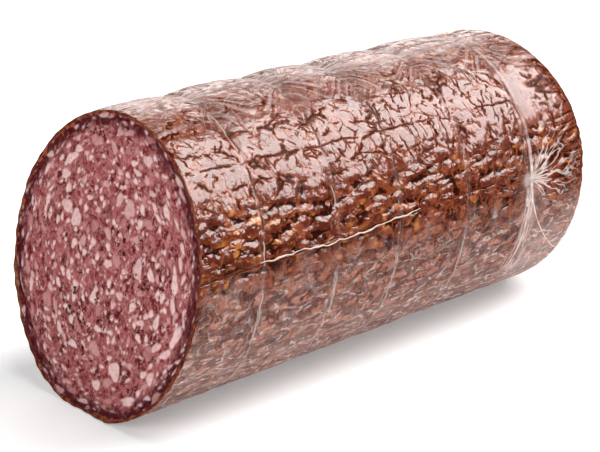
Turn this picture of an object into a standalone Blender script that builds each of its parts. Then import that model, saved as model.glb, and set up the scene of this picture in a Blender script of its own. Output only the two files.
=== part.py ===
"""Half of a round cured sausage, cut across at one end, in a casing, a thin net and a clear shrunk film.

It lies on its side along X, with the cut face towards -X and the closed, domed end towards +X.
Four solids fit inside each other like sleeves, each a small gap from the next:
the meat, the casing round it, the net that pinches it into bays, and the film over the net.
Every skin is a loft through the same rings, each drawn a fixed distance in from the outermost skin.
"""

import math
from collections import namedtuple

import bmesh
import bpy
from mathutils import Vector

# Driving dimensions, in metres
RADIUS = 0.0331  # of the wrapped sausage at the cut
LENGTH = 0.1402  # along the axis, from the middle of the cut face to the tip of the closed end
TAPER = 0.042  # share of the radius lost from the cut to the closed end
DOME_DEPTH = 0.0200  # how far the closed end reaches past the straight body
FLAT_DEPTH = 0.0006  # how much the underside is pressed flat where it rests
CUT_LEAN = (0.02, 0.205)  # the cut isn't square: metres along X for each metre of Y and of Z

# Skins, as distances in from the outermost one
FILM_THICKNESS = 0.00035
SKIN_GAP = 0.00035
THREAD_THICKNESS = 0.0005
CASING_THICKNESS = 0.0009
NET_OUTER = FILM_THICKNESS + SKIN_GAP
NET_INNER = NET_OUTER + THREAD_THICKNESS
CASING_OUTER = NET_INNER + SKIN_GAP
CASING_INNER = CASING_OUTER + CASING_THICKNESS
MEAT_OUTER = CASING_INNER + SKIN_GAP

# The net. A hoop is its place on the axis and its lean along X for each metre of Y and of Z
HOOPS = (
    (0.0220, 0.127, 0.098),
    (0.0448, 0.139, 0.090),
    (0.0634, 0.112, 0.091),
    (0.0860, 0.104, 0.078),
    (0.1071, 0.101, 0.072),
)
LINE_ANGLES = (-38, 9, 46, 90, 134, 179, 226, 275)  # degrees up from the -Y side, one for each line
NET_TWIST = math.radians(-7)  # turn of the lines from the cut to the closed end
THREAD_WIDTH = 0.0008
HOOP_PINCH = 0.0006  # how far a hoop draws the surface in
TALLNESS = 0.00046  # how much the section is stretched upright, on its radius
SQUARENESS = 0.0002  # how far the section bulges at its corners, on the -Y side
SQUARE_TURN = math.radians(-15)  # of those corners

FILM_SET_BACK = 0.0009  # from the cut to the film's edge
NET_SET_BACK = 0.0004  # from the cut to the ends of the net's lines

CORNERS_PER_BAY = 4  # of each ring, between one line of the net and the next
DOME_ANGLES = (18, 36, 54, 68, 80)  # degrees from the body's edge towards the tip

# A ring: its place and lean, its radius, and how much of a skin's distance in is taken along X
Station = namedtuple("Station", "x lean_y lean_z radius depth_share")


def body_radius(x):
    return RADIUS * (1 - TAPER * x / LENGTH)


def between(before, after, share):
    return Station(*(low + (high - low) * share for low, high in zip(before, after)))


def body_stations():
    """Rings along the straight body: the cut, each hoop, the dome's edge, and the middle of each bay."""
    dome_start = LENGTH - DOME_DEPTH
    narrow = [Station(0.0, *CUT_LEAN, body_radius(0), 0.0)]
    narrow += [Station(x, lean_y, lean_z, body_radius(x) - HOOP_PINCH, 0.0) for x, lean_y, lean_z in HOOPS]
    narrow.append(Station(dome_start, 0.0, 0.0, body_radius(dome_start), 0.0))
    stations = narrow[:1]
    for before, after in zip(narrow, narrow[1:]):
        middle = between(before, after, 0.5)
        stations += [middle._replace(radius=body_radius(middle.x)), after]
    return stations


def dome_stations():
    """Rings over the closed end, a quarter of an ellipse."""
    start = LENGTH - DOME_DEPTH
    stations = []
    for angle in DOME_ANGLES:
        depth_share = math.sin(math.radians(angle))
        radius = body_radius(start) * math.cos(math.radians(angle))
        stations.append(Station(start + DOME_DEPTH * depth_share, 0.0, 0.0, radius, depth_share))
    return stations


STATIONS = body_stations() + dome_stations()
HOOP_STATIONS = STATIONS[2 : 2 * len(HOOPS) + 1 : 2]


def set_back(station, distance):
    return station._replace(x=station.x + distance)


def surface_point(station, angle, inset):
    """The point of a ring at an angle up from the -Y side, on the skin that lies inset in from the outermost."""
    turn = angle + NET_TWIST * (station.x / LENGTH - 0.5)
    across = math.sqrt(1 - station.depth_share**2)
    stretch = -TALLNESS * math.cos(2 * turn)
    corners = -SQUARENESS * math.cos(turn) * math.cos(4 * (turn - SQUARE_TURN))
    radius = station.radius + (stretch + corners - inset) * across
    y = -radius * math.cos(turn)
    centre_height = body_radius(min(station.x, LENGTH - DOME_DEPTH)) - FLAT_DEPTH
    z = max(centre_height + radius * math.sin(turn), inset)
    x = station.x + station.lean_y * y + station.lean_z * (z - centre_height) - inset * station.depth_share
    return Vector((x, y, z))


def ring_turns():
    """The angles of a ring's corners: each line of the net, and even steps from it to the next."""
    turns = []
    for angle, following in zip(LINE_ANGLES, LINE_ANGLES[1:] + (LINE_ANGLES[0] + 360,)):
        step = (following - angle) / CORNERS_PER_BAY
        turns += [math.radians(angle + step * number) for number in range(CORNERS_PER_BAY)]
    return turns


def finish_object(bm, name, material):
    bmesh.ops.triangulate(bm, faces=bm.faces, quad_method="SHORT_EDGE")  # alike on each skin, so none meet
    bmesh.ops.recalc_face_normals(bm, faces=bm.faces)
    mesh = bpy.data.meshes.new(name)
    bm.to_mesh(mesh)
    bm.free()
    mesh.shade_smooth()
    mesh.set_sharp_from_angle(angle=math.radians(40))
    obj = bpy.data.objects.new(name, mesh)
    bpy.context.scene.collection.objects.link(obj)
    mesh.materials.append(material)
    return obj


def extrude_ring(bm, edges):
    """Extrudes a ring of edges, and gives the new ring's vertices and edges."""
    made = bmesh.ops.extrude_edge_only(bm, edges=edges)["geom"]
    verts = {item for item in made if isinstance(item, bmesh.types.BMVert)}
    new_edges = [item for item in made if isinstance(item, bmesh.types.BMEdge) and set(item.verts) <= verts]
    return verts, new_edges


def tube(rows, columns, place):
    """An open tube of quads whose vertices know their row and column, and lie at place(row, column)."""
    bm = bmesh.new()
    row_layer = bm.verts.layers.int.new("row")
    column_layer = bm.verts.layers.int.new("column")
    verts = bmesh.ops.create_circle(bm, segments=columns, radius=RADIUS)["verts"]
    for column, vert in enumerate(verts):
        vert[column_layer] = column
    edges = list(bm.edges)
    for row in range(rows):
        if row:
            verts, edges = extrude_ring(bm, edges)
        for vert in verts:
            vert[row_layer] = row
            vert.co = place(row, vert[column_layer])
    return bm


def loft(name, path, material):
    """A closed body through rings, with a flat cap on each end: path is a list of (station, inset)."""
    turns = ring_turns()

    def place(row, column):
        station, inset = path[row]
        return surface_point(station, turns[column], inset)

    bm = tube(len(path), len(turns), place)
    rims = [edge for edge in bm.edges if edge.is_boundary]
    bmesh.ops.holes_fill(bm, edges=rims)
    return finish_object(bm, name, material)


def sleeve(name, stations, inner, outer, material):
    """A skin with a closed end: from the tip along its inside, over its edge, and back along its outside."""
    inside = [(station, inner) for station in reversed(stations)]
    outside = [(station, outer) for station in stations]
    return loft(name, inside + outside, material)


def net_rings():
    """The stations of the net's rings, each with whether a hoop runs from it to the next."""
    half = THREAD_WIDTH / 2
    rings = [(set_back(STATIONS[0], NET_SET_BACK), False)]
    for station in STATIONS[1:-1]:
        if station in HOOP_STATIONS:
            rings += [(set_back(station, -half), True), (set_back(station, half), False)]
        else:
            rings.append((station, False))
    tip_share = 1 - THREAD_WIDTH / (STATIONS[-2].radius - STATIONS[-1].radius)
    return rings + [(between(STATIONS[-2], STATIONS[-1], tip_share), True), (STATIONS[-1], False)]


def net_corners():
    """The corners of the net's rings, as (turn, side): two where a line crosses, on its sides -1 and 1."""
    corners = []
    for number, turn in enumerate(ring_turns()):
        on_line = number % CORNERS_PER_BAY == 0
        corners += [(turn, -1), (turn, 1)] if on_line else [(turn, 0)]
    return corners


def make_net(name, material):
    """A tube round the casing whose faces between the threads are taken out, given its thickness inwards."""
    rings = net_rings()
    corners = net_corners()

    def place(row, column, inset=NET_OUTER):
        station = rings[row][0]
        turn, side = corners[column]
        return surface_point(station, turn + side * THREAD_WIDTH / 2 / station.radius, inset)

    bm = tube(len(rings), len(corners), place)
    row_layer = bm.verts.layers.int["row"]
    column_layer = bm.verts.layers.int["column"]

    def is_hole(face):
        row = min(vert[row_layer] for vert in face.verts)
        sides = {corners[vert[column_layer]][1] for vert in face.verts}
        return not rings[row][1] and sides != {-1, 1}

    bmesh.ops.delete(bm, geom=[face for face in bm.faces if is_hole(face)], context="FACES")
    made = bmesh.ops.extrude_face_region(bm, geom=list(bm.faces), use_keep_orig=True)["geom"]
    for vert in made:
        if isinstance(vert, bmesh.types.BMVert):
            vert.co = place(vert[row_layer], vert[column_layer], NET_INNER)
    return finish_object(bm, name, material)


def make_material(name, colour, roughness, alpha=1.0, transmission=0.0):
    material = bpy.data.materials.new(name)
    material.use_nodes = True
    shader = material.node_tree.nodes["Principled BSDF"]
    shader.inputs["Base Color"].default_value = (*colour, 1.0)
    shader.inputs["Roughness"].default_value = roughness
    shader.inputs["Metallic"].default_value = 0.0
    shader.inputs["Alpha"].default_value = alpha
    shader.inputs["Transmission Weight"].default_value = transmission
    return material


def clear_scene():
    for obj in list(bpy.data.objects):
        bpy.data.objects.remove(obj)


def stand_on_origin(objects):
    """Moves them so that the middle of the underside of their common box is at the origin."""
    points = [vert.co for obj in objects for vert in obj.data.vertices]
    low = Vector(min(point[axis] for point in points) for axis in range(3))
    high = Vector(max(point[axis] for point in points) for axis in range(3))
    shift = Vector((-(low.x + high.x) / 2, -(low.y + high.y) / 2, -low.z))
    for obj in objects:
        obj.location = shift


def main():
    clear_scene()
    meat_red = make_material("meat", (0.30, 0.055, 0.060), 0.45)
    casing_brown = make_material("casing", (0.20, 0.045, 0.016), 0.35)
    thread_white = make_material("netting", (0.72, 0.66, 0.62), 0.4)
    film_clear = make_material("film", (0.95, 0.93, 0.92), 0.08, alpha=0.3, transmission=0.5)
    film_stations = [set_back(STATIONS[0], FILM_SET_BACK), *STATIONS[1:]]
    stand_on_origin(
        [
            loft("meat", [(station, MEAT_OUTER) for station in STATIONS], meat_red),
            sleeve("casing", STATIONS, CASING_INNER, CASING_OUTER, casing_brown),
            make_net("netting", thread_white),
            sleeve("film", film_stations, FILM_THICKNESS, 0.0, film_clear),
        ]
    )


main()
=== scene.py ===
import math
from functools import reduce

import bmesh
import bpy
import numpy as np
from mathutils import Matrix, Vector


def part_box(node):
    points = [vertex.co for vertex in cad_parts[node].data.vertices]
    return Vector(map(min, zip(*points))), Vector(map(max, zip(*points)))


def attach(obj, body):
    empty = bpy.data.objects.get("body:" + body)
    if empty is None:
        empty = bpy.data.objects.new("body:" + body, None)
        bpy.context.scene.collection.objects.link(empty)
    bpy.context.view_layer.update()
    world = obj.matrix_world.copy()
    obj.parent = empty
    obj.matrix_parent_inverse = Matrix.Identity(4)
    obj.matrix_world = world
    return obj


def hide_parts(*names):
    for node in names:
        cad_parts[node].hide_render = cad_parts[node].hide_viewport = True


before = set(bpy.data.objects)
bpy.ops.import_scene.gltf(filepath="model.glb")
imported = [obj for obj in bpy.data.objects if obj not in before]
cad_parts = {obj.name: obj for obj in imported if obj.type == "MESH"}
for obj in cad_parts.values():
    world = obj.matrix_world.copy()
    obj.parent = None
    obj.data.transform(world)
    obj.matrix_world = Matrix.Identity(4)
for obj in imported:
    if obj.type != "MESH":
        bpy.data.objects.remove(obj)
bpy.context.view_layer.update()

mm = 0.001
mergeWithin = 0.001 * mm

sausage = {  # the shape that every piece below is laid on
    "length": 139.9 * mm,  # along the axis, from the middle of the cut face to the tip
    "taper": 0.042,
    "domeDepth": 20.0 * mm,
    "cutLean": (0.02, 0.205),  # metres along X for each metre of Y and of Z
    "tallness": 0.46 * mm,
    "squareness": 0.2 * mm,
    "squareTurn": math.radians(-15),
    "flatDepth": 0.6 * mm,
    "flatSoftness": 0.18 * mm,
    "restGap": 0.02 * mm,
    "twist": math.radians(-7),
    "hoops": (  # place along the axis, and lean along X for each metre of Y and of Z
        (22.0 * mm, 0.127, 0.098),
        (44.8 * mm, 0.139, 0.090),
        (63.4 * mm, 0.112, 0.091),
        (86.0 * mm, 0.104, 0.078),
        (107.1 * mm, 0.101, 0.072),
    ),
    "hoopDepth": 0.36 * mm,
    "hoopWidth": 1.5 * mm,
    "bulges": (0.6, 0.95, 0.9, 0.8, 0.85, 0.2),  # millimetres that each bay swells over the top
    "bulgeRise": (0.78, 0.98),  # where that begins and is full, as shares of the radius up
    "bulgePower": 0.8,  # below 1 it is fuller
    "lines": (-38, 8.5, 46, 90, 134, 179, 226, 275),  # degrees up from the -Y side
    "risingLine": 1,  # runs up a little towards the tip, and is at its degrees in the middle
    "rise": 0.045,  # metres round for each metre along
    "risingMiddle": 47 * mm,
}
length = sausage["length"]
hoopPlaces = np.array([hoop[0] for hoop in sausage["hoops"]])
filmLow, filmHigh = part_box("film")
wrapRadius = (filmHigh.z - filmLow.z + sausage["flatDepth"] - sausage["tallness"]) / 2
cutX = filmHigh.x - length
domeStart = length - sausage["domeDepth"]
axisY = filmLow.y + wrapRadius - sausage["tallness"] - sausage["squareness"] / 2


def rgb(red, green, blue):
    # a colour given as a screen shows it, in linear light
    shown = np.array((red, green, blue)) / 255
    return tuple(np.where(shown <= 0.04045, shown / 12.92, ((shown + 0.055) / 1.055) ** 2.4)) + (1.0,)


def smoothStep(low, high, value):
    share = np.clip((value - low) / (high - low), 0, 1)
    return share * share * (3 - 2 * share)


def between(value, start, full, fade, end):
    # 1 in a stretch of values, falling to 0 on both sides
    return smoothStep(start, full, value) * (1 - smoothStep(fade, end, value))


def waves(random, place, rates, size):
    # a seeded wavy line: a sum of sines of these rates
    sizes = random.uniform(0.3 * size, size, len(rates))
    phases = random.uniform(0, 2 * math.pi, len(rates))
    return sum(high * np.sin(rate * place + phase) for high, rate, phase in zip(sizes, rates, phases))


def radiusAt(x):
    return wrapRadius * (1 - sausage["taper"] * x / length)


def leanAt(x):
    # how far each ring leans, from the cut through the hoops to the upright edge of the dome
    _, hoopsByY, hoopsByZ = zip(*sausage["hoops"])
    cutByY, cutByZ = sausage["cutLean"]
    places = (0.0, *hoopPlaces, domeStart)
    byY = np.interp(x, places, (cutByY, *hoopsByY, 0.0))
    return byY, np.interp(x, places, (cutByZ, *hoopsByZ, 0.0))


def skinPoint(along, turn, inset):
    # a point on the skin, by its place along the axis or the dome, its angle up from -Y and its depth
    along, turn, inset = np.broadcast_arrays(along, turn, inset)
    domeTurn = np.clip((along - domeStart) / sausage["domeDepth"], 0, 1) * math.pi / 2
    depthShare, across = np.sin(domeTurn), np.cos(domeTurn)
    x = np.minimum(along, domeStart)
    turned = turn + sausage["twist"] * (x / length - 0.5)
    radius = radiusAt(x)
    for place in hoopPlaces:
        away = (along - place) / sausage["hoopWidth"]
        radius = radius - sausage["hoopDepth"] * np.exp(-(away**2))
    ends = (0.0, *hoopPlaces, length)
    upper = smoothStep(*sausage["bulgeRise"], np.sin(turn))
    for start, end, swell in zip(ends, ends[1:], sausage["bulges"]):
        share = np.clip((along - start) / (end - start), 0, 1)
        radius = radius + swell * mm * upper * np.sin(math.pi * share) ** sausage["bulgePower"]
    stretch = -sausage["tallness"] * np.cos(2 * turned)
    corners = -sausage["squareness"] * np.cos(turned) * np.cos(4 * (turned - sausage["squareTurn"]))
    reach = (radius + stretch + corners - inset) * across
    y = -reach * np.cos(turned)
    centreHeight = radiusAt(x) - sausage["flatDepth"]
    soft, resting = sausage["flatSoftness"], inset + sausage["restGap"]
    z = resting + soft * np.logaddexp(0, (centreHeight + reach * np.sin(turned) - resting) / soft)
    leanY, leanZ = leanAt(x)
    forward = x + leanY * y + leanZ * (z - centreHeight) + (sausage["domeDepth"] - inset) * depthShare
    return np.stack((cutX + forward, axisY + y, z), axis=-1)


def gridMesh(name, columns, rows):
    # a flat grid, with each vertex's column and row
    bm = bmesh.new()
    bmesh.ops.create_grid(bm, x_segments=columns, y_segments=rows, size=1.0)
    mesh = bpy.data.meshes.new(name)
    bm.to_mesh(mesh)
    bm.free()
    places = np.array([v.co[:2] for v in mesh.vertices])
    column, row = np.rint((places + 1) / 2 * (columns, rows)).astype(int).T
    return mesh, column, row


def moveVertices(mesh, points):
    mesh.vertices.foreach_set("co", np.asarray(points, np.float32).ravel())
    mesh.update()


def store(mesh, **fields):
    # keeps numbers or vectors on the vertices, for the materials to read
    for name, values in fields.items():
        values = np.asarray(values, np.float32)
        kind, field = ("FLOAT_VECTOR", "vector") if values.ndim == 2 else ("FLOAT", "value")
        attribute = mesh.attributes.get(name) or mesh.attributes.new(name, kind, "POINT")
        attribute.data.foreach_set(field, values.ravel())


def read(mesh, name):
    values = np.empty(len(mesh.vertices), np.float32)
    mesh.attributes[name].data.foreach_get("value", values)
    return values


def closeMesh(bm, mesh):
    # merges doubles and turns the faces outwards
    bmesh.ops.remove_doubles(bm, verts=bm.verts, dist=mergeWithin)
    bmesh.ops.recalc_face_normals(bm, faces=bm.faces)
    bm.to_mesh(mesh)
    bm.free()
    mesh.shade_smooth()


def weld(mesh):
    bm = bmesh.new()
    bm.from_mesh(mesh)
    closeMesh(bm, mesh)


def addObject(name, data):
    item = bpy.data.objects.new(name, data)
    bpy.context.scene.collection.objects.link(item)
    return item


def evaluated(item):
    return item.evaluated_get(bpy.context.evaluated_depsgraph_get())


def aimAt(item, direction):
    # turns a camera or a light to look that way
    item.rotation_mode = "QUATERNION"
    item.rotation_quaternion = Vector(direction).to_track_quat("-Z", "Y")


def placePiece(mesh, material, node):
    piece = addObject(mesh.name, mesh)
    mesh.materials.append(material)
    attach(piece, "root")
    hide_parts(node)
    return piece


class Nodes:
    # adds nodes to a shader tree or a geometry tree in the same words
    def __init__(self, tree):
        self.tree = tree

    def add(self, kind, inputs=None, output=0, **settings):
        node = self.tree.nodes.new(kind)
        for key, value in settings.items():
            setattr(node, key, value)
        self.fill(node, inputs or {})
        return node.outputs[output]

    def fill(self, node, inputs):
        for key, value in inputs.items():
            self.feed(node.inputs[key], value)

    def feed(self, socket, value):
        if isinstance(value, bpy.types.NodeSocket):
            self.tree.links.new(value, socket)
        else:
            socket.default_value = value

    def math(self, operation, first, second=0.0, third=0.0):
        return self.add("ShaderNodeMath", {0: first, 1: second, 2: third}, operation=operation)

    def chain(self, operation, values):
        return reduce(lambda first, second: self.math(operation, first, second), values)

    def times(self, *factors):
        return self.chain("MULTIPLY", factors)

    def plus(self, *terms):
        return self.chain("ADD", terms)

    def most(self, *values):
        return self.chain("MAXIMUM", values)

    def minus(self, first, second):
        return self.math("SUBTRACT", first, second)

    def fromMiddle(self, value, middle=0.5):
        return self.math("ABSOLUTE", self.minus(value, middle))

    def groove(self, apart, width):
        # 1 where nothing is apart, down to 0 at the width
        return self.most(self.minus(1.0, self.math("DIVIDE", apart, width)), 0.0)

    def vector(self, operation, first, second=(0, 0, 0), output=0):
        return self.add("ShaderNodeVectorMath", {0: first, 1: second}, output, operation=operation)

    def shift(self, vector, offset):
        return self.vector("ADD", vector, offset)

    def stretch(self, vector, factors):
        return self.vector("MULTIPLY", vector, factors)

    def scale(self, vector, factor):
        return self.add("ShaderNodeVectorMath", {0: vector, "Scale": factor}, operation="SCALE")

    def stray(self, vector, drift, factor):
        return self.shift(vector, self.scale(drift, factor))

    def noise(self, vector, size, detail=2.0, roughness=0.5, output="Fac"):
        # size is that of one blotch, in millimetres
        inputs = {"Vector": vector, "Scale": 1 / size, "Detail": detail, "Roughness": roughness}
        return self.add("ShaderNodeTexNoise", inputs, output)

    def drift(self, vector, size, detail):
        # a smooth random shift, to any side
        colour = self.noise(vector, size, detail, output="Color")
        return self.vector("SUBTRACT", colour, (0.5, 0.5, 0.5))

    def cells(self, vector, size, feature="F1", output="Distance"):
        inputs = {"Vector": vector, "Scale": 1 / size}
        return self.add("ShaderNodeTexVoronoi", inputs, output, feature=feature)

    def step(self, value, low, high, fromValue=0.0, toValue=1.0):
        inputs = {"Value": value, "From Min": low, "From Max": high, "To Min": fromValue, "To Max": toValue}
        return self.add("ShaderNodeMapRange", inputs, interpolation_type="SMOOTHSTEP")

    def mix(self, share, first, second):
        inputs = {"Factor": share, "A": first, "B": second}
        return self.add("ShaderNodeMix", inputs, "Result", data_type="RGBA")

    def paint(self, colour, *coats):
        # coats of colour one over another, each a share and a colour
        for share, coat in coats:
            colour = self.mix(share, colour, coat)
        return colour

    def blend(self, share, first, second):
        return self.add("ShaderNodeMixShader", {0: share, 1: first, 2: second})

    def bump(self, height, distance, strength=1.0):
        inputs = {"Height": height, "Distance": distance, "Strength": strength}
        return self.add("ShaderNodeBump", inputs, "Normal")

    def split(self, vector, axis):
        return self.add("ShaderNodeSeparateXYZ", {"Vector": vector}, axis)

    def attribute(self, name, output="Fac"):
        if self.tree.type == "SHADER":
            return self.add("ShaderNodeAttribute", output=output, attribute_name=name)
        kind = "FLOAT_VECTOR" if output == "Vector" else "FLOAT"
        return self.add("GeometryNodeInputNamedAttribute", {"Name": name}, "Attribute", data_type=kind)

    def attributes(self, names, output="Fac"):
        return [self.attribute(name, output) for name in names.split()]

    def finish(self, surface):
        self.feed(self.tree.nodes["Material Output"].inputs["Surface"], surface)


def newMaterial(name):
    material = bpy.data.materials.new(name)
    material.use_nodes = True
    nodes = Nodes(material.node_tree)
    return material, nodes, nodes.tree.nodes["Principled BSDF"]


wrinkles = {  # millimetres
    # kinds of crease: spacing, width, and the levels of a noise where they begin and are full
    "long": (6.2, 0.40, 0.42, 0.54),  # along the sausage
    "round": (4.6, 0.36, 0.42, 0.54),
    "cross": (3.2, 0.28, 0.48, 0.60),
    "fine": (1.9, 0.18, 0.46, 0.60),
    "pleat": (1.0, 0.13, 0.30, 0.50),  # to the tip
    # creases under the net's threads: width and the same two levels
    "hoopSeam": (0.38, 0.36, 0.55),
    "lineSeam": (0.38, 0.32, 0.46),
    "fans": (  # where creases gather: millimetres along, degrees, and how far they reach
        (107.3, 10.0, 13.0),
        (45.5, 84.0, 15.0),
        (64.0, 86.0, 15.0),
    ),
    "fanWidth": 0.30,
    "wander": 4.0,  # how far the creases stray
    "jitter": 1.3,
    "chunk": 2.3,  # size of the lumps between the creases
    "tilt": 1.3,  # how steeply they lean
    "lean": (0.5, 0.5, 1.25),  # and which way: faces up, more or less
}

zones = {  # degrees up from the -Y side: where each zone of the skin begins, is full, fades and ends
    "low": (-85, -60, -12, 9),  # slack, hazy film and flattened lumps underneath
    "high": (60, 68, 105, 130),  # bunched film over the top
    "tight": (26, 34),  # film that holds the lumps flat, from here up
    "tightEnd": (110, 130),
    "taut": (30, 38, 58, 66),  # a smooth patch past the last hoop
    "tautAlong": (107.5, 108.5, 112.0, 115.5),  # and its millimetres along
    "wander": 1.6,
}


def bunching(along, turn):
    # the film is bunched over the top, tightest at the hoops; how far aside of the crest a spot lies
    u, degrees = along / mm, np.degrees(turn)
    toHoop = np.abs(along[:, None] - hoopPlaces).min(1) / mm
    pinch = 3.5 + 5.5 * smoothStep(0.0, 11.0, toHoop)
    crest = 89 + 2.5 * np.sin(u * 0.05)
    return (degrees - crest) * 0.57 / pinch, toHoop


def lineTurn(number, along):
    rise = sausage["rise"] if number == sausage["risingLine"] else 0.0
    beyond = (along - sausage["risingMiddle"]) / wrapRadius
    return math.radians(sausage["lines"][number]) + rise * beyond


def tautPatch(along, turn):
    # where the film is pulled tight and smooth, beyond the last hoop
    return between(along / mm, *zones["tautAlong"]) * between(np.degrees(turn), *zones["taut"])


def smallest(choices):
    # of each row, the number that is nearest to nought
    return choices[np.arange(len(choices)), np.abs(choices).argmin(1)]


def layCoordinates(mesh, along, turn, inset):
    # what the wrinkles and the haze are drawn by: place on the smooth skin, distance from threads, zone
    smooth = skinPoint(along, turn, inset)
    u = along / mm
    store(mesh, rest=smooth / mm, sheet=np.stack((u, turn * wrapRadius / mm, 0 * u), axis=-1))
    numbers = range(len(sausage["lines"]))
    fromLines = np.stack([turn - lineTurn(number, along) for number in numbers], axis=-1)
    fromLines = (fromLines + math.pi) % (2 * math.pi) - math.pi
    hoopAway = smallest(along[:, None] - hoopPlaces) / mm
    store(mesh, hoopAway=hoopAway, lineAway=smallest(fromLines) * wrapRadius / mm)
    # how strongly the creases run round: the middle and far bays on the front, here and there elsewhere
    far = between(u, 56, 70, 105, 116)
    front = between(np.degrees(turn), -30, 20, 58, 75)
    swirl = 0.5 + 0.5 * np.sin(u * 0.06 + 2 * turn + 1.5) * np.sin(u * 0.035 - 3 * turn)
    store(mesh, roundShare=np.clip(0.12 + 0.8 * far * front + 0.55 * swirl * (1 - front), 0, 1))
    # where the film lets the lumps stand up, and where it holds them flat, with wandering borders
    wander = np.sin(u * 0.33) + np.sin(u * 0.81 + 2) + np.sin(u * 1.7 + turn * 3)
    degrees = (np.degrees(turn) + 90) % 360 - 90 + zones["wander"] * wander
    low, high = between(degrees, *zones["low"]), between(degrees, *zones["high"])
    patchy = 0.5 + 0.5 * np.sin(turn * 7 + u * 0.05)
    tight = smoothStep(*zones["tight"], degrees) * (1 - high)
    tight = tight * (1 - smoothStep(*zones["tightEnd"], degrees) * patchy)
    patch = tautPatch(along, turn)
    loose = (1 - 0.45 * low) * (1 - 0.85 * tight) * (1 - 0.7 * high) * (1 - patch)
    folded = (1 - 0.1 * low) * (1 - 0.15 * high) * (1 - 0.9 * patch)
    store(mesh, low=low, high=high, loose=loose, folded=folded)
    # coordinates that follow the bunched film, and the pleats that run to the tip
    bunch, _ = bunching(along, turn)
    alongPleats = u * 0.06 + 0.5 * np.sin(turn * 5)
    pleated = smoothStep(112, 119, u + 1.5 * np.sin(turn * 9) + 1.5 * np.sin(turn * 23))
    store(mesh, streakPlace=np.stack((u * 0.05, bunch * 9, 0 * u), axis=-1), pleated=pleated)
    store(mesh, pleatPlace=np.stack((7 * np.cos(turn), 7 * np.sin(turn), alongPleats), axis=-1))
    return smooth


def creaseNodes(nodes, rest, place, kind, widen=1.0):
    # grooves along the edges of cells, there only where a noise is high
    cell, width, low, high = kind
    shifted = nodes.shift(rest, (cell * 7, cell * 3, cell * 11))
    present = nodes.step(nodes.noise(shifted, cell * 0.8, 1), low, high)
    reach = nodes.times(nodes.plus(nodes.times(present, 0.7), 0.3), width * widen / cell)
    edge = nodes.cells(place, cell, "DISTANCE_TO_EDGE")
    return nodes.times(nodes.groove(edge, reach), present)


def strokeNodes(nodes, rest, place, kind, widen=1.0):
    # grooves where a noise crosses its middle, broken into strokes by another noise
    cell, width, low, high = kind
    shifted = nodes.shift(rest, (cell * 5, cell * 13, cell * 2))
    present = nodes.step(nodes.noise(shifted, cell * 0.55, 1), low, high)
    across = nodes.fromMiddle(nodes.noise(place, cell, 1))
    return nodes.times(nodes.groove(across, width * widen / cell * 0.55), present)


def seamNodes(nodes, rest, away, kind, widen=1.0):
    # a groove under a thread, straying a little and missing here and there
    width, low, high = kind
    stray = nodes.times(nodes.minus(nodes.noise(rest, 2.6, 2), 0.5), 1.6)
    apart = nodes.math("ABSOLUTE", nodes.plus(away, stray))
    present = nodes.step(nodes.noise(rest, 5, 1), low, high)
    return nodes.times(nodes.groove(apart, width * widen), present)


def fanNodes(nodes, rest, sheet, fan, width):
    # lines that run out of one spot, and the distance from it
    along, degrees, reach = fan
    away = nodes.vector("SUBTRACT", sheet, (along, math.radians(degrees) * wrapRadius / mm, 0))
    far = nodes.vector("LENGTH", away, output="Value")
    bearing = nodes.math("ARCTAN2", nodes.split(away, "Y"), nodes.split(away, "X"))
    sway = nodes.minus(nodes.noise(rest, 3, 2), 0.5)
    bearing = nodes.math("MULTIPLY_ADD", sway, 0.24, bearing)
    east, north = nodes.math("COSINE", bearing), nodes.math("SINE", bearing)
    spread = nodes.add("ShaderNodeCombineXYZ", {"X": east, "Y": north, "Z": nodes.times(far, 0.035)})
    spread = nodes.shift(spread, (along, degrees, 0))
    across = nodes.fromMiddle(nodes.noise(spread, 0.18, 1.5))
    line = nodes.groove(nodes.times(across, 0.9, nodes.plus(far, 1)), width)
    return nodes.times(line, nodes.step(far, 0.35 * reach, reach, 1, 0)), far


def lumpNodes(nodes, rest, broad, narrow):
    # rounded lumps with sharp hollows between them; each leans its own way
    look = wrinkles
    swayed = nodes.stray(nodes.stretch(rest, (0.52, 1, 1)), broad, 3)
    swayed = nodes.stray(swayed, narrow, 0.9)
    away = nodes.times(nodes.cells(swayed, look["chunk"]), 1.3)
    mound = nodes.most(nodes.math("MULTIPLY_ADD", away, nodes.times(away, -1), 1), 0)
    centre = nodes.cells(swayed, look["chunk"], output="Position")
    tint = nodes.vector("SUBTRACT", nodes.cells(swayed, look["chunk"], output="Color"), look["lean"])
    aside = nodes.scale(nodes.vector("SUBTRACT", swayed, centre), look["tilt"] / look["chunk"])
    tilt = nodes.vector("DOT_PRODUCT", tint, aside, "Value")
    rough = nodes.minus(nodes.noise(swayed, 1, 2), 0.5)
    rise = nodes.plus(mound, nodes.math("MULTIPLY_ADD", rough, 0.16, tilt))
    return nodes.minus(1, rise)


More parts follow.
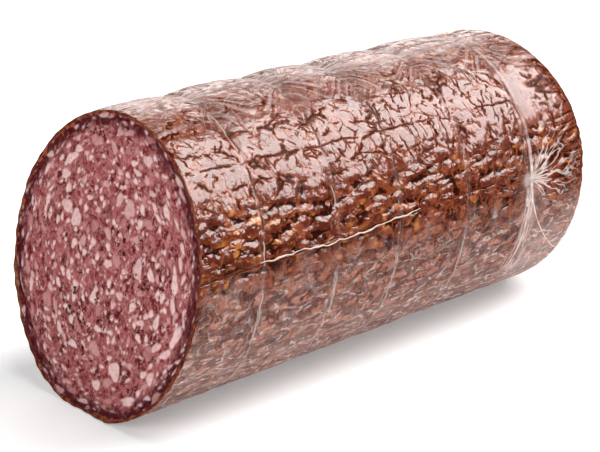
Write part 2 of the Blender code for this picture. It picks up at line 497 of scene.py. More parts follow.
def wrinkleNodes(nodes, widen=1.0):
    # gives the depth of the main creases, the fine creases and the lumps, each 0 to 1
    look = wrinkles
    rest, sheet, pleatPlace = nodes.attributes("rest sheet pleatPlace", "Vector")
    roundShare, loose, hoopAway, lineAway = nodes.attributes("roundShare loose hoopAway lineAway")
    broad = nodes.drift(rest, 6, 1)
    narrow = nodes.drift(rest, 1.5, 1)
    strayed = nodes.stray(nodes.stray(rest, broad, look["wander"]), narrow, look["jitter"])
    lengthwise = nodes.stretch(strayed, (0.5, 1, 1))
    around = nodes.stretch(strayed, (1.5, 0.55, 0.55))

    less = nodes.minus(1, roundShare)
    long = creaseNodes(nodes, rest, lengthwise, look["long"], widen)
    long = nodes.times(long, nodes.step(less, 0, 0.5, 0.35, 1))
    turned = creaseNodes(nodes, rest, around, look["round"], widen)
    turned = nodes.times(turned, nodes.step(roundShare, 0, 0.6, 0.2, 1))
    cross = nodes.times(creaseNodes(nodes, rest, strayed, look["cross"], widen), 0.8)
    main = nodes.times(nodes.most(long, turned, cross), nodes.step(loose, 0.6, 1, 1, 0.4))
    hoopSeam = seamNodes(nodes, rest, nodes.minus(hoopAway, 0.5), look["hoopSeam"], widen)
    lineSeam = seamNodes(nodes, rest, lineAway, look["lineSeam"], widen)
    pleat = strokeNodes(nodes, rest, pleatPlace, look["pleat"], widen)
    pleat = nodes.times(pleat, nodes.attribute("pleated"))
    fans = [fanNodes(nodes, rest, sheet, fan, look["fanWidth"] * widen)[0] for fan in look["fans"]]
    main = nodes.most(main, hoopSeam, lineSeam, *fans, pleat)
    main = nodes.times(main, nodes.attribute("folded"))
    fine = creaseNodes(nodes, rest, strayed, look["fine"], widen)
    lump = nodes.times(lumpNodes(nodes, rest, broad, narrow), loose)
    return main, fine, lump


def measureWrinkles(mesh, widen):
    # the same depths at each vertex, read back from the same nodes as the material's
    group = bpy.data.node_groups.new("wrinkleMeasure", "GeometryNodeTree")
    for side in ("INPUT", "OUTPUT"):
        group.interface.new_socket("Geometry", in_out=side, socket_type="NodeSocketGeometry")
    nodes = Nodes(group)
    flow = nodes.add("NodeGroupInput", output="Geometry")
    names = ("mainCrease", "fineCrease", "lump")
    for name, depth in zip(names, wrinkleNodes(nodes, widen)):
        inputs = {"Geometry": flow, "Name": name, "Value": depth}
        kinds = {"data_type": "FLOAT", "domain": "POINT"}
        flow = nodes.add("GeometryNodeStoreNamedAttribute", inputs, "Geometry", **kinds)
    group.links.new(flow, group.nodes.new("NodeGroupOutput").inputs["Geometry"])
    probe = addObject("wrinkleProbe", mesh)
    probe.modifiers.new("measure", "NODES").node_group = group
    measured = evaluated(probe).to_mesh()
    depths = [read(measured, name) for name in names]
    bpy.data.objects.remove(probe)
    bpy.data.node_groups.remove(group)
    return depths


def skinGrid(name, look, rimRows):
    # a grid to wrap round the sausage, whose first rows make the edge at the cut
    body = np.linspace(0, domeStart, look["bodyRows"] + 1)
    dome = np.linspace(domeStart, length, look["domeRows"] + 1)[1:]
    places = np.concatenate((body, dome))
    mesh, column, row = gridMesh(name, look["columns"], len(places) - 1 + rimRows)
    turn = 2 * math.pi * column / look["columns"] - math.pi / 2
    return mesh, row, places[np.maximum(row - rimRows, 0)], turn


casingLook = {
    "columns": 380,
    "bodyRows": 208,
    "domeRows": 46,
    "bury": 0.22 * mm,  # below the film's outer side
    "thickness": 0.42 * mm,
    "lipDepth": 0.12 * mm,
    "innerDepth": 2.4 * mm,  # behind the cut, below the deepest hollow
    "innerStart": 4.0 * mm,
    "wrinklesFrom": (-0.2 * mm, 1.2 * mm),  # behind the cut, where they begin and are full
    "widen": 1.4,  # how much wider than the material's they are in the mesh
    "creaseDepth": 0.18 * mm,
    "fineDepth": 0.05 * mm,
    "lumpDepth": 0.28 * mm,
    "bumpDepth": 0.22 * mm,
    "brown": rgb(104, 41, 22),
    # painted shade, for the hollows and the creases' cores
    "paintedShadeBrown": rgb(38, 11, 7),
    "deepBrown": rgb(72, 24, 10),
    "redBrown": rgb(122, 52, 32),
    # painted light on the creases' edges
    "paintedCreaseLight": rgb(150, 76, 44),
    "amber": rgb(186, 116, 58),
    # painted highlight on the lumps' crowns, underneath
    "paintedTopLight": rgb(170, 114, 97),
    # painted shade in the hollows and creases underneath
    "lowHollowPaintedShade": rgb(76, 33, 27),
    "lowCreasePaintedShade": rgb(46, 18, 14),
    "dull": rgb(72, 34, 30),
    "gloss": rgb(255, 246, 242),
    "edge": rgb(150, 92, 62),
    "edgeDark": rgb(96, 42, 34),
    "rimWave": 0.14 * mm,  # how unevenly the cut edge runs
    "proud": 0.2 * mm,  # how far it stands beyond the meat
    "seed": 21,
}


def casingMaterial():
    look = casingLook
    material, nodes, shader = newMaterial("wrinkledCasing")
    rest, streakPlace = nodes.attributes("rest streakPlace", "Vector")
    low, high, loose, rim = nodes.attributes("low high loose rim")
    main, fine, lump = wrinkleNodes(nodes)

    # duller brown in blotches, and fat that shows through as amber where the film is slack
    blotch = nodes.step(nodes.noise(rest, 6, 2), 0.4, 0.65)
    mottle = nodes.step(nodes.noise(rest, 2.2, 3, 0.6), 0.42, 0.66)
    mottle = nodes.times(mottle, nodes.step(low, 0, 1, 0.45, 0.85))
    fatUnder = nodes.times(
        nodes.step(nodes.noise(nodes.stretch(rest, (0.6, 1, 1)), 2, 2, 0.55), 0.51, 0.72),
        nodes.step(nodes.noise(nodes.shift(rest, (50, 9, 2)), 7, 2), 0.36, 0.58),
    )
    rich = nodes.step(loose, 0.5, 1, 0.15, 1)
    rich = nodes.most(rich, nodes.times(high, 0.8), nodes.times(low, 0.55))

    # painted shade in the hollows between the lumps, which are shallower underneath, and underneath a
    # painted highlight on the lumps' crowns
    stood = nodes.math("DIVIDE", lump, nodes.math("MULTIPLY_ADD", low, -0.42, 1))
    litTops = nodes.times(nodes.step(stood, 0.10, 0.55, 0.75, 0), low)
    hollowShade = nodes.times(nodes.step(stood, 0.50, 1.05), 0.94)
    # painted shade in the creases' cores, and in the fine creases underneath
    creaseShade = nodes.most(nodes.step(main, 0.25, 0.7), nodes.times(nodes.step(fine, 0.08, 0.45), low))
    edgeTone = nodes.step(nodes.noise(rest, 2, 3, 0.6), 0.44, 0.70)
    colour = nodes.paint(
        look["brown"],
        (blotch, look["redBrown"]),
        (mottle, look["dull"]),
        (nodes.times(loose, 0.5), look["deepBrown"]),
        # painted highlight on the lumps' crowns underneath
        (litTops, look["paintedTopLight"]),
        (nodes.times(fatUnder, rich), look["amber"]),
        # painted shade in the hollows between the lumps
        (hollowShade, nodes.mix(low, look["paintedShadeBrown"], look["lowHollowPaintedShade"])),
        # painted light on the creases' edges
        (nodes.step(main, 0.02, 0.25, 0, 0.6), look["paintedCreaseLight"]),
        # painted shade in the creases' cores
        (nodes.times(creaseShade, 0.9), nodes.mix(low, look["paintedShadeBrown"], look["lowCreasePaintedShade"])),
        (rim, nodes.mix(edgeTone, look["edgeDark"], look["edge"])),
    )
    height = nodes.plus(
        nodes.times(main, -1),
        nodes.times(fine, -0.15),
        nodes.times(lump, -1.7),
        nodes.times(nodes.noise(rest, 0.9, 2), 0.04),
        nodes.times(nodes.noise(streakPlace, 1.6, 3, 0.6), high, 1.1),
    )
    bump = nodes.bump(height, look["bumpDepth"])
    inputs = {
        "Base Color": colour,
        "Roughness": nodes.step(nodes.noise(rest, 3, 1), 0.3, 0.7, 0.13, 0.24),
        "Normal": bump,
        "IOR": 1.5,
        "Specular Tint": look["gloss"],
        "Coat Weight": 0.3,
        "Coat Roughness": 0.12,
        "Coat IOR": 1.6,
        "Coat Tint": look["gloss"],
        "Coat Normal": bump,
    }
    nodes.fill(shader, inputs)
    # hollows, the cut edge and the hazy side underneath take less gloss
    dull = nodes.add("ShaderNodeBsdfDiffuse", {"Color": colour}, "BSDF")
    sunk = nodes.most(nodes.step(main, 0.12, 0.5), nodes.step(lump, 0.70, 1))
    sunk = nodes.most(sunk, nodes.times(rim, 0.7), nodes.times(low, 0.55))
    nodes.finish(nodes.blend(sunk, shader.outputs["BSDF"], dull))
    return material


def makeCasing():
    look = casingLook
    random = np.random.default_rng(look["seed"])
    # the first rows run from inside the cut out over its edge
    depths = np.array((look["innerDepth"], look["thickness"], look["lipDepth"], 0.0))
    rimRows = len(depths) - 1
    mesh, row, along, turn = skinGrid("casing", look, rimRows)
    along = np.where(row == 0, look["innerStart"], along)
    inset = look["bury"] + depths[np.minimum(row, rimRows)]
    wave = waves(random, turn, (4, 9, 17, 31, 52), look["rimWave"])
    along = along - np.where((row > 0) & (row <= rimRows), wave + look["proud"], 0.0)
    inset = inset + np.where((row > 0) & (row < rimRows), 0.6 * wave, 0.0)
    moveVertices(mesh, layCoordinates(mesh, along, turn, inset))
    main, fine, lump = measureWrinkles(mesh, look["widen"])
    keep = np.where(row < rimRows, 0.0, smoothStep(*look["wrinklesFrom"], along))
    depth = main * look["creaseDepth"] + fine * look["fineDepth"] + lump * look["lumpDepth"]
    moveVertices(mesh, skinPoint(along, turn, inset + depth * keep))
    store(mesh, rim=np.where(row <= rimRows, 1.0, 0.0))
    weld(mesh)
    return placePiece(mesh, casingMaterial(), "casing")


netLook = {
    "radius": 0.07 * mm,
    "bury": 0.14 * mm,
    "sink": 0.90 * mm,  # how much deeper it lies where the casing hides it
    "lowSink": 0.6,  # share of that under the sausage
    "lastRadius": 0.58,  # share of the radius in the last hoop
    "proudBury": 0.04 * mm,  # where the rising line stands up under the film
    "proudAlong": (16, 24, 64, 76),  # millimetres along, where it comes up and goes down again
    "hiddenLines": (2, 3),  # lines that only their creases show
    "lineStart": 0.6 * mm,
    "lineEnd": 1.0 * mm,  # short of the tip
    "hoopPoints": 260,
    "linePoints": 230,
    "colour": rgb(206, 180, 166),
    "roughness": 0.35,
    "seed": 5,
}


def addThread(curve, points, radii, closed):
    thread = curve.splines.new("POLY")
    thread.points.add(len(points) - 1)
    thread.use_cyclic_u = closed
    thread.points.foreach_set("co", np.column_stack((points, np.ones(len(points)))).ravel())
    thread.points.foreach_set("radius", radii)


def threadMaterial():
    material, nodes, shader = newMaterial("netThread")
    nodes.fill(shader, {"Base Color": netLook["colour"], "Roughness": netLook["roughness"]})
    return material


def makeNet():
    look = netLook
    random = np.random.default_rng(look["seed"])
    curve = bpy.data.curves.new("netting", "CURVE")
    curve.dimensions = "3D"
    curve.bevel_depth = 1.0  # times each point's radius
    curve.bevel_resolution = 1
    curve.use_fill_caps = True

    for hoop in sausage["hoops"]:
        turn = np.linspace(0, 2 * math.pi, look["hoopPoints"], endpoint=False)
        stray = waves(random, turn, (2, 3, 9, 23, 37, 58), 0.22) * mm
        sunk = smoothStep(-0.9, 0.3, waves(random, turn, (3, 7, 12, 19), 0.5))
        sunk = sunk + look["lowSink"] * smoothStep(0.1, -0.2, np.sin(turn))
        radii = look["radius"] * (1 + waves(random, turn, (7, 19, 43), 0.3))
        if hoop == sausage["hoops"][-1]:
            # it is finer, and lies deep everywhere but on the front
            sunk = sunk + between(turn, 1.0, 1.3, 4.6, 5.0)
            radii = radii * look["lastRadius"]
        points = skinPoint(hoop[0] + stray, turn, look["bury"] + look["sink"] * sunk)
        addThread(curve, points, radii, True)

    along = np.linspace(look["lineStart"], length - look["lineEnd"], look["linePoints"])
    u = along / mm
    for number in range(len(sausage["lines"])):
        stray = waves(random, u, (0.05, 0.13), 0.5) * mm
        stray = stray + waves(random, u, (0.25, 0.5, 1.1, 2.3), 0.22) * mm
        sunk = smoothStep(-0.5, 0.5, waves(random, u, (0.06, 0.15, 0.33), 0.5))
        radii = look["radius"] * (0.85 + 0.25 * np.sin(u * 0.5 + number))
        bury = look["bury"]
        if number == sausage["risingLine"]:
            proud = between(u, *look["proudAlong"])
            sunk = 1 - proud
            bury = bury + (look["proudBury"] - bury) * proud
            radii = radii * (1 + proud * (1.5 + waves(random, u, (0.7, 1.6, 3.1), 0.5)))
        if number in look["hiddenLines"]:
            sunk = 1
        turn = lineTurn(number, along) + stray / wrapRadius
        addThread(curve, skinPoint(along, turn, bury + look["sink"] * sunk), radii, False)

    holder = addObject("netting", curve)
    mesh = bpy.data.meshes.new_from_object(evaluated(holder))
    bpy.data.objects.remove(holder)
    bpy.data.curves.remove(curve)
    mesh.shade_smooth()
    return placePiece(mesh, threadMaterial(), "netting")


filmLook = {
    "columns": 372,
    "bodyRows": 206,
    "domeRows": 46,
    "startAlong": 0.5 * mm,
    "bury": 0.05 * mm,
    "lipDepth": 0.12 * mm,
    "dip": 0.14 * mm,  # how far it sinks over a crease
    "widen": 3.0,  # how much wider than the casing's those creases are
    "bumpDepth": 0.15 * mm,
    "star": (107.3, 10.0, 18.0),  # gathers: millimetres along, degrees, and how far they reach
    "starWidth": 0.52,
    "starArc": 0.577,  # millimetres round for each degree
    "starPale": 0.85,
    "bandAlong": 107.6,  # the band that hangs from the star
    "flapPale": 0.85,
    "flapAlong": (107.8, 108.6),  # where the flap's two edges meet, in millimetres
    "flapSwing": 9.9,  # how far apart they come, lower down
    "longCrinkle": (4.0, 0.22, 0.46, 0.66),  # as the casing's creases are given
    "roundCrinkle": (2.4, 0.20, 0.42, 0.60),
    "hoopFold": (0.70, 0.25, 0.50),  # folds at the hoops' threads
    "besideHoop": (0.45, 0.40, 0.60),
    "crinkled": (0.36, 0.12),  # how pale the crinkles are, and how much more at the slackest
    # the haze underneath is partly slack film and partly a painted reflection of the floor
    "hazeAndFloorReflection": (0.05, 0.10),  # the same of the haze around them
    "mostHaze": 0.9,
    "veil": rgb(242, 222, 216),
    "lowVeil": rgb(242, 221, 215),
    "veilRoughness": 0.4,
    "glossRoughness": 0.12,
    "glossAhead": 0.085,  # share mirrored straight on, and how much more edge on
    "glossAside": 0.9,
    "cling": (0.08, 0.15),  # how much of that shows, where wrinkled and where taut
}


def filmMaterial():
    look = filmLook
    material, nodes, shader = newMaterial("clearFilm")
    rest, sheet, streakPlace = nodes.attributes("rest sheet streakPlace", "Vector")
    veil, low, high, under, flap, hoopAway = nodes.attributes("veil low high under flap hoopAway")

    # gathers that run out of the star, and the band below it
    gather, far = fanNodes(nodes, rest, sheet, look["star"], look["starWidth"])
    gather = nodes.times(gather, nodes.attribute("ahead"))
    heart = nodes.step(far, 0.4, 3.2, 0.45, 0)
    strands = nodes.fromMiddle(nodes.noise(nodes.stretch(sheet, (1.6, 0.10, 1)), 1, 2))
    strands = nodes.times(nodes.step(strands, 0, 0.12, 0.75, 0.15), nodes.attribute("band"))
    star = nodes.most(nodes.times(gather, look["starPale"]), heart, strands)

    # a loose flap of film, clear in the middle with bright edges
    flapEdge = nodes.step(nodes.fromMiddle(flap, 0.2), 0, 0.34, look["flapPale"], 0)
    flapHaze = nodes.most(nodes.step(flap, -0.1, 0.2, 0, 0.22), flapEdge)
    patchy = nodes.step(nodes.noise(rest, 2.4, 2), 0.35, 0.6, 0.65, 1.2)
    flapHaze = nodes.times(flapHaze, patchy, nodes.attribute("flapFade"))

    # fine streaks that follow the bunched film
    line = nodes.step(nodes.fromMiddle(nodes.noise(streakPlace, 1, 3, 0.65)), 0, 0.04, 1, 0)
    cloud = nodes.step(nodes.noise(streakPlace, 3, 2), 0.36, 0.64, 0.10, 0.60)
    cloud = nodes.times(veil, nodes.plus(nodes.times(line, 0.6), cloud))
    soft = nodes.step(nodes.noise(streakPlace, 2, 3), 0.40, 0.68, 0, 0.26)
    cloud = nodes.most(cloud, nodes.times(high, soft))

    # crinkles in the film where it is slack, underneath
    sway = nodes.drift(rest, 3, 2)
    bent = nodes.stray(nodes.stretch(rest, (1, 0.45, 0.45)), sway, 2.4)
    crinkle = nodes.times(creaseNodes(nodes, rest, bent, look["longCrinkle"]), 0.7)
    bent = nodes.stray(nodes.stretch(rest, (0.26, 1, 1)), sway, 1.5)
    crinkle = nodes.most(crinkle, creaseNodes(nodes, rest, bent, look["roundCrinkle"]))
    least, more = look["crinkled"]
    crinkled = nodes.times(crinkle, nodes.math("MULTIPLY_ADD", under, more, least))
    # haze underneath, partly slack film and partly a painted reflection of the floor
    least, more = look["hazeAndFloorReflection"]
    hazeAndFloorReflection = nodes.step(nodes.noise(rest, 4, 4, 0.6), 0.38, 0.68, 0, 0.11)
    hazeAndFloorReflection = nodes.plus(nodes.math("MULTIPLY_ADD", under, more, least), hazeAndFloorReflection)
    slack = nodes.times(low, nodes.plus(crinkled, hazeAndFloorReflection))

    # folds on and beside the hoops' threads, which show most underneath
    hoopFold = seamNodes(nodes, rest, hoopAway, look["hoopFold"])
    elsewhere = nodes.shift(rest, (31, 7, 3))
    beside = seamNodes(nodes, elsewhere, nodes.plus(hoopAway, 0.5), look["besideHoop"])
    hoopFold = nodes.times(nodes.most(hoopFold, beside), nodes.step(low, 0, 1, 0.04, 0.46))
    haze = nodes.most(nodes.plus(cloud, slack), star, flapHaze, hoopFold)
    haze = nodes.math("MINIMUM", haze, look["mostHaze"])

    height = nodes.plus(
        nodes.times(line, nodes.plus(veil, 0.1)),
        nodes.times(gather, 1.5),
        nodes.times(crinkle, low),
        nodes.step(flap, 0, 0.6),
        nodes.times(nodes.noise(rest, 1.4, 3), 0.15),
    )
    bump = nodes.bump(height, look["bumpDepth"])
    colour = nodes.mix(low, look["veil"], look["lowVeil"])
    nodes.fill(shader, {"Base Color": colour, "Roughness": look["veilRoughness"], "Normal": bump})
    clear = nodes.add("ShaderNodeBsdfTransparent", output="BSDF")
    inputs = {"Roughness": look["glossRoughness"], "Normal": bump}
    gloss = nodes.add("ShaderNodeBsdfGlossy", inputs, "BSDF")
    facing = nodes.add("ShaderNodeLayerWeight", {"Blend": 0.5, "Normal": bump}, "Facing")
    facing = nodes.math("POWER", facing, 5)
    mirror = nodes.math("MULTIPLY_ADD", facing, look["glossAside"], look["glossAhead"])
    cling = nodes.step(nodes.attribute("patch"), 0, 1, *look["cling"])
    glassy = nodes.blend(nodes.times(mirror, cling), clear, gloss)
    nodes.finish(nodes.blend(haze, glassy, shader.outputs["BSDF"]))
    return material


def veilAt(mesh, along, turn):
    # how cloudy the film is: over its top between the knots, along the threads, on the taut patch
    look = filmLook
    u, degrees = along / mm, np.degrees(turn)
    bunch, toHoop = bunching(along, turn)
    top = np.exp(-(bunch**4) / 0.6) * (1 - smoothStep(108, 122, u))
    knot = np.exp(-((toHoop / 3.0) ** 2) - ((degrees - 89) / 9) ** 2)
    atHoop = np.exp(-((toHoop / 0.7) ** 2))
    patch = tautPatch(along, turn)
    veil = np.clip(0.45 * top + 0.8 * knot + 0.12 * atHoop + 0.12 * patch, 0, 1)
    store(mesh, veil=veil, patch=patch)
    # the star's gathers run ahead of it and straight down
    starAlong, starDegrees, _ = look["star"]
    bearing = np.degrees(np.arctan2((degrees - starDegrees) * look["starArc"], u - starAlong))
    ahead = 1 - smoothStep(38, 72, np.abs(bearing - 6))
    below = 1 - smoothStep(3, 12, np.abs(bearing + 88))
    store(mesh, ahead=np.clip(0.1 + ahead + below, 0, 1))
    # the band that hangs from the star, and where the film lies slackest
    drop = starDegrees - degrees
    band = np.exp(-(((u - look["bandAlong"] - 0.04 * drop) / (1 + 0.03 * drop)) ** 2))
    band = band * between(degrees, -60, -35, 4, 9)
    beyond = smoothStep(108.5, 111, u) * smoothStep(0, -25, degrees)
    store(mesh, band=band, under=smoothStep(-15, -42, degrees) + 1.5 * beyond)
    # the flap, from the last hoop to an edge that swings away from it downwards
    left, right = look["flapAlong"]
    right = right + look["flapSwing"] * np.clip((5 - degrees) / 33, 0, 2) ** 1.7
    flap = np.minimum(u - left, right - u)
    fade = smoothStep(-52, -30, degrees) * (1 - 0.6 * smoothStep(10, 30, degrees))
    store(mesh, flap=np.maximum(flap, -3.0), flapFade=fade)
    return patch, smoothStep(-0.2, 0.6, flap) * fade


def makeFilm():
    look = filmLook
    mesh, row, along, turn = skinGrid("film", look, 1)
    along = np.maximum(along, look["startAlong"])
    inset = look["bury"] + np.where(row == 0, look["lipDepth"], 0.0)
    moveVertices(mesh, layCoordinates(mesh, along, turn, inset))
    main, _, lump = measureWrinkles(mesh, look["widen"])
    patch, flap = veilAt(mesh, along, turn)
    dip = look["dip"] * (0.7 * main + 0.6 * lump) * (1 - patch) * (1 - flap)
    moveVertices(mesh, skinPoint(along, turn, inset + dip))
    weld(mesh)
    film = placePiece(mesh, filmMaterial(), "film")
    film.visible_shadow = False  # so clear that it throws no shade on the casing
    film.visible_diffuse = False
    return film


meatLook = {
    "cells": 285,
    "rimInset": 0.5 * mm,
    "bodyInset": 3.0 * mm,  # behind the cut, below the casing's hollows
    "middle": 32.8 * mm,  # height of the axis
    "relief": 0.10 * mm,
    "setBack": 0.25 * mm,  # how far the face lies behind its edge
    "bumpDepth": 0.12 * mm,
    "seed": 11,
    "grains": (  # how many, smallest and largest half-width in millimetres, and how close they may lie
        (14, 1.45, 1.9, 1.15),
        (90, 0.85, 1.35, 1.05),
        (260, 0.50, 0.85, 0.95),
        (480, 0.26, 0.50, 0.80),
        (320, 0.14, 0.26, 0.60),
    ),
    "grainMargin": 0.8,  # how far round a grain its edge may reach
    "specks": 150,
    "speckSizes": (0.10, 0.30),
    "largeEvery": 12,  # one speck in so many is large
    "largeSizes": (0.35, 0.55),
    "clusters": 9,  # that the specks lie in
    "clusterReach": 4.5,
    "pieceSize": 4.2,  # of the lean pieces
    "strands": (2.2, 0.26, 0.34, 0.56),  # pale strands, as the casing's creases are given
    "fineStrands": (1.2, 0.18, 0.40, 0.60),
    "lean": rgb(114, 24, 31),
    "darkLean": rgb(94, 14, 23),
    "paste": rgb(166, 90, 90),
    "strand": rgb(206, 142, 138),
    "fat": rgb(236, 201, 199),
    "dimFat": rgb(205, 145, 144),
    "glint": rgb(228, 168, 96),
    "driedRim": rgb(70, 5, 18),
    "edgeTan": rgb(172, 84, 50),
    "pepper": rgb(36, 20, 18),
}


def discShare(a, b):
    # a square's point as a share of the radius and an angle, keeping areas even
    wide = np.abs(a) > np.abs(b)
    safeA, safeB = np.where(a == 0, 1, a), np.where(b == 0, 1, b)
    radius = np.where(wide, a, b)
    angle = np.where(wide, math.pi / 4 * b / safeA, math.pi / 2 - math.pi / 4 * a / safeB)
    angle = np.where((a == 0) & (b == 0), 0, angle)
    return np.abs(radius), np.where(radius < 0, angle + math.pi, angle)


def scatterGrains(random, reach):
    # fat grains over the cut: place, half-length, half-width, direction and tone, in millimetres
    grains = np.empty((0, 6))
    for count, smallest, largest, spacing in meatLook["grains"]:
        for _ in range(count * 3):
            size = random.uniform(smallest, largest)
            far = reach * math.sqrt(random.uniform(0, 1))
            around = random.uniform(0, 2 * math.pi)
            outward = far / reach
            if far > reach - 0.5 * size:
                continue
            spot = np.array((far * math.cos(around), far * math.sin(around)))
            stretch = 1 + random.uniform(0.05, 0.6) + 2.6 * outward**4 * random.uniform(0.3, 1)
            tilt = around + math.pi / 2 + random.normal(0, 1.1 * (1 - outward) + 0.12)
            long, short = size * math.sqrt(stretch), size / math.sqrt(stretch)
            grain = (*spot, long, short, tilt, random.uniform(0, 1))
            gaps = np.hypot(grains[:, 0] - spot[0], grains[:, 1] - spot[1])
            if len(grains) and np.any(gaps < spacing * (size + np.sqrt(grains[:, 2] * grains[:, 3]))):
                continue
            grains = np.vstack((grains, grain))
            count -= 1
            if count == 0:
                break
    return grains


def grainField(random, grains, spots):
    # how deep each spot lies inside its nearest grain (below 0 outside), and that grain's tone
    margin = meatLook["grainMargin"]
    depth = np.full(len(spots), -1.0)
    tone = np.zeros(len(spots))
    order = np.argsort(spots[:, 0])
    ordered = spots[order, 0]
    for x, y, long, short, tilt, grainTone in grains:
        first, last = np.searchsorted(ordered, (x - long - margin, x + long + margin))
        near = order[first:last]
        near = near[np.abs(spots[near, 1] - y) < long + margin]
        away = spots[near] - (x, y)
        ahead = away[:, 0] * math.cos(tilt) + away[:, 1] * math.sin(tilt)
        aside = away[:, 1] * math.cos(tilt) - away[:, 0] * math.sin(tilt)
        angle = np.arctan2(aside / short, ahead / long)
        phases = random.uniform(0, 2 * math.pi, 3)
        lumps = 0.13 * np.sin(2 * angle + phases[0]) + 0.10 * np.sin(3 * angle + phases[1])
        lumps = lumps + 0.06 * np.sin(5 * angle + phases[2])
        inside = (1 + lumps - np.hypot(ahead / long, aside / short)) * short
        better = inside > depth[near]
        depth[near[better]] = inside[better]
        tone[near[better]] = grainTone
    return depth, tone


def speckField(random, reach, spots):
    # pepper and pits, in loose clusters
    look = meatLook
    depth = np.full(len(spots), -1.0)
    clusters = random.normal(0, reach * 0.5, (look["clusters"], 2))
    for number in range(look["specks"]):
        spot = clusters[number % len(clusters)] + random.normal(0, look["clusterReach"], 2)
        if np.hypot(*spot) > reach - 1:
            spot = spot * 0.4
        size = random.uniform(*look["speckSizes" if number % look["largeEvery"] else "largeSizes"])
        away = spots - spot
        near = np.nonzero(np.abs(away).max(1) < 1.2)[0]
        wobble = 0.3 * np.sin(3 * np.arctan2(away[near, 1], away[near, 0]) + random.uniform(0, 6))
        depth[near] = np.maximum(depth[near], size * (1 + wobble) - np.hypot(*away[near].T))
    return depth


def meatMaterial():
    look = meatLook
    material, nodes, shader = newMaterial("curedMeat")
    rest = nodes.attribute("rest", "Vector")
    grain, tone, speck, inward = nodes.attributes("grain tone speck inward")

    # lean pieces, with paler paste and strands between them
    strayed = nodes.stray(rest, nodes.drift(rest, 3, 2), 3)
    seam = nodes.cells(strayed, look["pieceSize"], "DISTANCE_TO_EDGE")
    piece = nodes.cells(strayed, look["pieceSize"], output="Color")
    mottle = nodes.noise(strayed, 1.5, 3, 0.55)
    fibre = nodes.noise(nodes.stretch(strayed, (1, 1, 2)), 1.2, 2)
    lean = nodes.mix(nodes.step(piece, 0.3, 0.7), look["darkLean"], look["lean"])
    paste = nodes.step(seam, 0.02, 0.20, 0.75, 0)
    paste = nodes.plus(paste, nodes.step(mottle, 0.45, 0.75, 0, 0.7))
    paste = nodes.times(paste, nodes.step(fibre, 0.22, 0.5, 0.4, 1))
    paste = nodes.math("MINIMUM", paste, 1)
    strand = strokeNodes(nodes, rest, strayed, look["strands"])
    strand = nodes.most(strand, strokeNodes(nodes, rest, strayed, look["fineStrands"]))

    # fat grains, veined and ragged at the edge
    blotch = nodes.minus(mottle, 0.5)
    fatHere = nodes.step(nodes.plus(grain, nodes.times(blotch, 0.30)), -0.20, 0.30)
    fatShare = nodes.times(fatHere, nodes.step(tone, 0, 0.5, 0.55, 1))
    fat = nodes.mix(nodes.step(tone, 0, 0.7), look["dimFat"], look["fat"])
    veins = nodes.step(nodes.noise(rest, 0.9, 3), 0.35, 0.7, 0, 0.32)

    # the dried rim, dark inside the edge and tan at it
    uneven = nodes.plus(inward, nodes.times(blotch, 5))
    dried = nodes.times(nodes.step(uneven, 0.8, 4.6, 1, 0), nodes.step(grain, 0, 0.3, 0.92, 0.30))
    glint = nodes.step(nodes.cells(rest, 5.5), 0.025, 0.045, 0.9, 0)
    colour = nodes.paint(
        lean,
        (paste, look["paste"]),
        (nodes.times(strand, 0.62), look["strand"]),
        (fatShare, nodes.mix(veins, fat, look["paste"])),
        (dried, look["driedRim"]),
        (nodes.step(uneven, 0, 0.45, 0.8, 0), look["edgeTan"]),
        (nodes.step(speck, -0.05, 0.05, 0, 0.92), look["pepper"]),
        (glint, look["glint"]),
    )
    height = nodes.plus(nodes.times(mottle, 0.5), nodes.times(fibre, 0.25), nodes.times(fatHere, 0.25))
    height = nodes.minus(height, nodes.step(speck, -0.1, 0.1))
    inputs = {
        "Base Color": colour,
        "Roughness": nodes.step(mottle, 0.3, 0.7, 0.34, 0.52),
        "Normal": nodes.bump(height, look["bumpDepth"], 0.8),
        "Specular IOR Level": 0.10,
        "Subsurface Weight": 0.25,
        "Subsurface Radius": (1.2 * mm, 0.4 * mm, 0.3 * mm),
        "Subsurface Scale": 1.0,
    }
    nodes.fill(shader, inputs)
    return material


def closeBody(mesh):
    # the meat's sides and rounded end, hidden in the casing: the cut's edge is drawn back to the tip
    look = meatLook
    bm = bmesh.new()
    bm.from_mesh(mesh)
    restLayer = bm.verts.layers.float_vector["rest"]
    edges = [edge for edge in bm.edges if edge.is_boundary]
    shares = np.concatenate((np.linspace(0.02, 0.88, 4), np.linspace(0.93, 1.0, 4)))
    for along in shares * length:
        drawn = bmesh.ops.extrude_edge_only(bm, edges=edges)["geom"]
        edges = [item for item in drawn if isinstance(item, bmesh.types.BMEdge) and item.is_boundary]
        ring = [item for item in drawn if isinstance(item, bmesh.types.BMVert)]
        turns = [math.atan2(v.co.z - look["middle"], axisY - v.co.y) for v in ring]
        places = skinPoint(np.full(len(ring), along), np.array(turns), look["bodyInset"])
        for v, place in zip(ring, places):
            v.co = place
            v[restLayer] = place / mm
    closeMesh(bm, mesh)


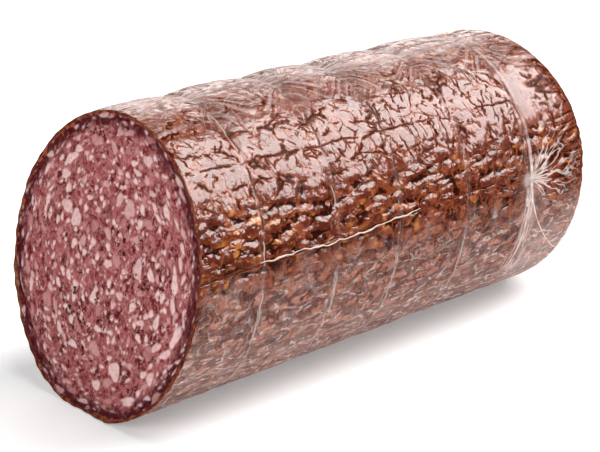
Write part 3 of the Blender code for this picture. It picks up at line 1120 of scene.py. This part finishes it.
def makeMeat():
    look = meatLook
    random = np.random.default_rng(look["seed"])
    mesh, column, row = gridMesh("meat", look["cells"], look["cells"])
    share, turn = discShare(column / look["cells"] * 2 - 1, row / look["cells"] * 2 - 1)
    edge = skinPoint(np.zeros(len(turn)), turn, look["rimInset"])
    centre = skinPoint([0.0, 0.0], [0.0, math.pi], look["rimInset"]).mean(0)
    points = centre + share[:, None] * (edge - centre)
    spots = (points[:, 1:] - centre[1:]) / mm
    reach = np.hypot(*((edge - centre)[:, 1:].T)) / mm
    spread = spots * (reach.min() / reach)[:, None]
    grain, tone = grainField(random, scatterGrains(random, reach.min()), spread)
    speck = speckField(random, reach.min(), spread)
    inward = (1 - share) * reach
    store(mesh, rest=points / mm, grain=grain, tone=tone, speck=speck, inward=inward)
    # grains stand up and specks are pits, on a gently rippled face
    ripple = np.sin(spots[:, 0] * 0.35 + 1) * np.sin(spots[:, 1] * 0.28) + np.sin(spots @ (0.21, -0.4))
    rise = smoothStep(-0.1, 0.4, grain) - 1.5 * smoothStep(-0.1, 0.1, speck) + 0.6 * ripple
    rise = look["relief"] * rise * smoothStep(0.0, 1.5, inward)
    rise = rise - look["setBack"] * smoothStep(0.2, 0.7, inward)
    points[:, 0] -= rise
    moveVertices(mesh, points)
    closeBody(mesh)
    return placePiece(mesh, meatMaterial(), "meat")


studio = {
    "cameraPlace": (-0.32598, -0.33718, 0.19482),
    "heading": math.radians(46.68),
    "tilt": math.radians(-19.87),
    "lens": 125.4,
    "floorReach": 3.0,  # metres
    "floor": (0.85, 0.85, 0.85, 1),
    "floorRoughness": 0.7,
    "floorGlow": 0.3,
    "white": (1, 1, 1, 1),
    "worldGlow": 0.06,  # dim as a light
    "worldPale": 0.9,  # and that much paler where it shows past the floor
    "lights": (  # place, what it points at, width, height and strength
        ("keyLight", (1.0, -0.42, 1.1), (0, -0.15, 0.45), 1.2, 1.15, 7.5),
        ("topLight", (0.35, -0.35, 1.7), (0.1, -0.1, 0), 1.0, 1.0, 5.5),
        ("faceLight", (-1.2, -0.5, 0.8), (-0.05, 0, 0.03), 0.8, 0.8, 5.0),
        ("backLight", (0.82, 0.88, 0.36), (0, 0, 0.03), 0.6, 0.6, 3.0),
    ),
}


def makeCamera():
    data = bpy.data.cameras.new("camera")
    data.lens = studio["lens"]
    data.sensor_width = 36
    data.clip_start = 0.01
    camera = addObject("camera", data)
    camera.location = studio["cameraPlace"]
    heading, flat = studio["heading"], math.cos(studio["tilt"])
    aimAt(camera, (flat * math.cos(heading), flat * math.sin(heading), math.sin(studio["tilt"])))
    bpy.context.scene.camera = camera


def makeFloor():
    mesh, _, _ = gridMesh("floor", 2, 2)
    moveVertices(mesh, [studio["floorReach"] * v.co for v in mesh.vertices])
    floor = addObject("floor", mesh)
    material, nodes, shader = newMaterial("paleFloor")
    inputs = {
        "Base Color": studio["floor"],
        "Roughness": studio["floorRoughness"],
        "Emission Color": studio["white"],
        "Emission Strength": studio["floorGlow"],
    }
    nodes.fill(shader, inputs)
    mesh.materials.append(material)
    floor.visible_glossy = False  # the gloss mirrors the lights alone


def softbox(name, place, aim, width, height, radiance):
    data = bpy.data.lights.new(name, "AREA")
    data.shape = "RECTANGLE"
    data.size = width
    data.size_y = height
    data.energy = radiance * math.pi * width * height
    light = addObject(name, data)
    light.location = place
    aimAt(light, Vector(aim) - Vector(place))


def makeStage():
    makeCamera()
    makeFloor()
    for light in studio["lights"]:
        softbox(*light)
    world = bpy.data.worlds.new("world")
    bpy.context.scene.world = world
    world.use_nodes = True
    nodes = Nodes(world.node_tree)
    seen = nodes.add("ShaderNodeLightPath", output="Is Camera Ray")
    strength = nodes.math("MULTIPLY_ADD", seen, studio["worldPale"], studio["worldGlow"])
    nodes.fill(world.node_tree.nodes["Background"], {"Color": studio["white"], "Strength": strength})
    bpy.context.scene.view_settings.view_transform = "Standard"


print("stage")
makeStage()
print("casing")
makeCasing()
print("meat")
makeMeat()
print("netting")
makeNet()
print("film")
makeFilm()
